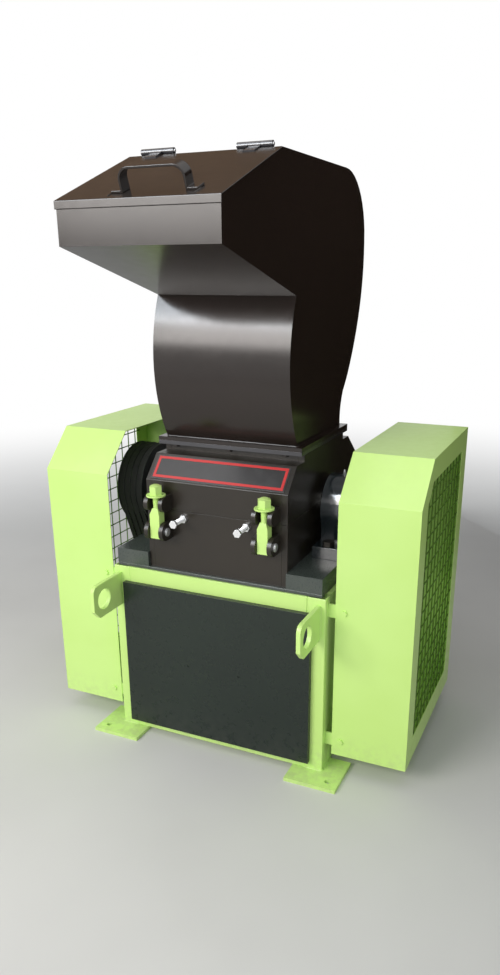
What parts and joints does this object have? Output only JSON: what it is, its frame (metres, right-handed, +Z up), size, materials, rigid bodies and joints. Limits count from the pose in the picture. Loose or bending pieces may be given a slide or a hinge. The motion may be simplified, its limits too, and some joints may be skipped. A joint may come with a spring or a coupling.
{
  "type": "plastic granulator",
  "caption": "Plastic granulator: box frame, bladed rotor in a tilting chamber with a curved sheet hopper, belt drive in mesh side guards, bin drawer.",
  "frame": {"origin": "on the floor, at the centre of the four floor bolt holes", "axes": "+Z up, -Y towards the operator and the hopper mouth, +X along the rotor axis from the belt side to the flywheel side"},
  "size_m": [1.052, 0.9893, 1.5285],
  "materials": {
    "lime_paint": "gloss enamel",
    "black_paint": "high gloss enamel",
    "dark_green_paint": "gloss enamel",
    "cast_iron_paint": "painted, half gloss",
    "bare_steel": "machined",
    "zinc_plate": "bright zinc plate",
    "belt_rubber": "matt",
    "motor_paint": "half gloss"
  },
  "bodies": {
    "frame_and_lower_chamber": {"foot_plates": "lime_paint", "frame_legs": "lime_paint", "frame_rails": "lime_paint", "lifting_lugs": "lime_paint", "guard_tabs": "lime_paint", "side_panels": "lime_paint", "bin_runners": "lime_paint", "bed_plate": "cast_iron_paint", "bearing_pedestals": "cast_iron_paint", "lower_side_plates": "black_paint", "lower_walls": "black_paint", "bed_knife_seats": "black_paint", "bed_knives": "bare_steel", "bed_knife_bolts": "zinc_plate", "screen": "bare_steel", "screen_rails": "black_paint", "discharge_chute": "bare_steel", "lower_clamp_ears": "black_paint", "pivot_pins": "zinc_plate", "rear_hinge_lower": "black_paint", "bearing_housings": "cast_iron_paint", "bearing_outer_rings": "bare_steel", "hold_down_bolts": "bare_steel", "motor_body": "motor_paint", "motor_fan_cover": "motor_paint", "motor_terminal_box": "motor_paint", "motor_base": "lime_paint", "guard_left": "lime_paint", "guard_right": "lime_paint", "guard_meshes": "lime_paint", "guard_screws": "zinc_plate", "drive_belts": "belt_rubber"},
    "upper_chamber": {"upper_side_plates": "black_paint", "upper_walls": "black_paint", "throat_flange": "black_paint", "flange_bolts": "black_paint", "sign_plate": "black_paint", "upper_clamp_ears": "black_paint", "rear_hinge_upper": "black_paint", "hopper_shell": "black_paint", "lid_hinge_leaves": "black_paint", "lid_hinge_pins": "zinc_plate"},
    "hopper_lid": {"lid_panel": "black_paint", "lid_handle": "black_paint", "lid_hinge_knuckles": "black_paint"},
    "swing_bolt_left": {"swing_bolt_left": "lime_paint"},
    "swing_bolt_right": {"swing_bolt_right": "lime_paint"},
    "clamp_nut_left": {"clamp_nut_left": "lime_paint"},
    "clamp_nut_right": {"clamp_nut_right": "lime_paint"},
    "rotor": {"rotor_shaft": "bare_steel", "rotor_body": "cast_iron_paint", "rotor_knives": "bare_steel", "rotor_knife_bolts": "bare_steel", "bearing_inner_rings": "bare_steel", "driven_pulley": "cast_iron_paint", "flywheel": "cast_iron_paint"},
    "motor_rotor": {"motor_shaft": "bare_steel", "motor_pulley": "cast_iron_paint"},
    "bin": {"collection_bin": "dark_green_paint", "bin_front": "dark_green_paint"}
  },
  "joints": [
    {"name": "chamber_tilt", "type": "hinge", "parent": "frame_and_lower_chamber", "child": "upper_chamber", "pos_m": [0, 0.291, 0.677], "axis": [-1, 0, 0], "range_deg": [0, 80]},
    {"name": "lid_hinge", "type": "hinge", "parent": "upper_chamber", "child": "hopper_lid", "pos_m": [0, -0.27, 1.5215], "axis": [-1, 0, 0], "range_deg": [0, 120]},
    {"name": "swing_bolt_left_pivot", "type": "hinge", "parent": "frame_and_lower_chamber", "child": "swing_bolt_left", "pos_m": [-0.152, -0.3, 0.628], "axis": [1, 0, 0], "range_deg": [0, 100]},
    {"name": "swing_bolt_right_pivot", "type": "hinge", "parent": "frame_and_lower_chamber", "child": "swing_bolt_right", "pos_m": [0.152, -0.3, 0.628], "axis": [1, 0, 0], "range_deg": [0, 100]},
    {"name": "clamp_nut_left_travel", "type": "slide", "parent": "swing_bolt_left", "child": "clamp_nut_left", "axis": [0, 0, 1], "range_m": [0, 0.012]},
    {"name": "clamp_nut_right_travel", "type": "slide", "parent": "swing_bolt_right", "child": "clamp_nut_right", "axis": [0, 0, 1], "range_m": [0, 0.012]},
    {"name": "rotor_spin", "type": "hinge", "parent": "frame_and_lower_chamber", "child": "rotor", "pos_m": [0, 0, 0.665], "axis": [1, 0, 0], "continuous": true},
    {"name": "motor_spin", "type": "hinge", "parent": "frame_and_lower_chamber", "child": "motor_rotor", "pos_m": [-0.35, 0.128, 0.202], "axis": [1, 0, 0], "continuous": true},
    {"name": "bin_slide", "type": "slide", "parent": "frame_and_lower_chamber", "child": "bin", "axis": [0, -1, 0], "range_m": [0, 0.26]}
  ],
  "couplings": [
    {"joint": "motor_spin", "follows": "rotor_spin", "ratio": 1.8461}
  ]
}
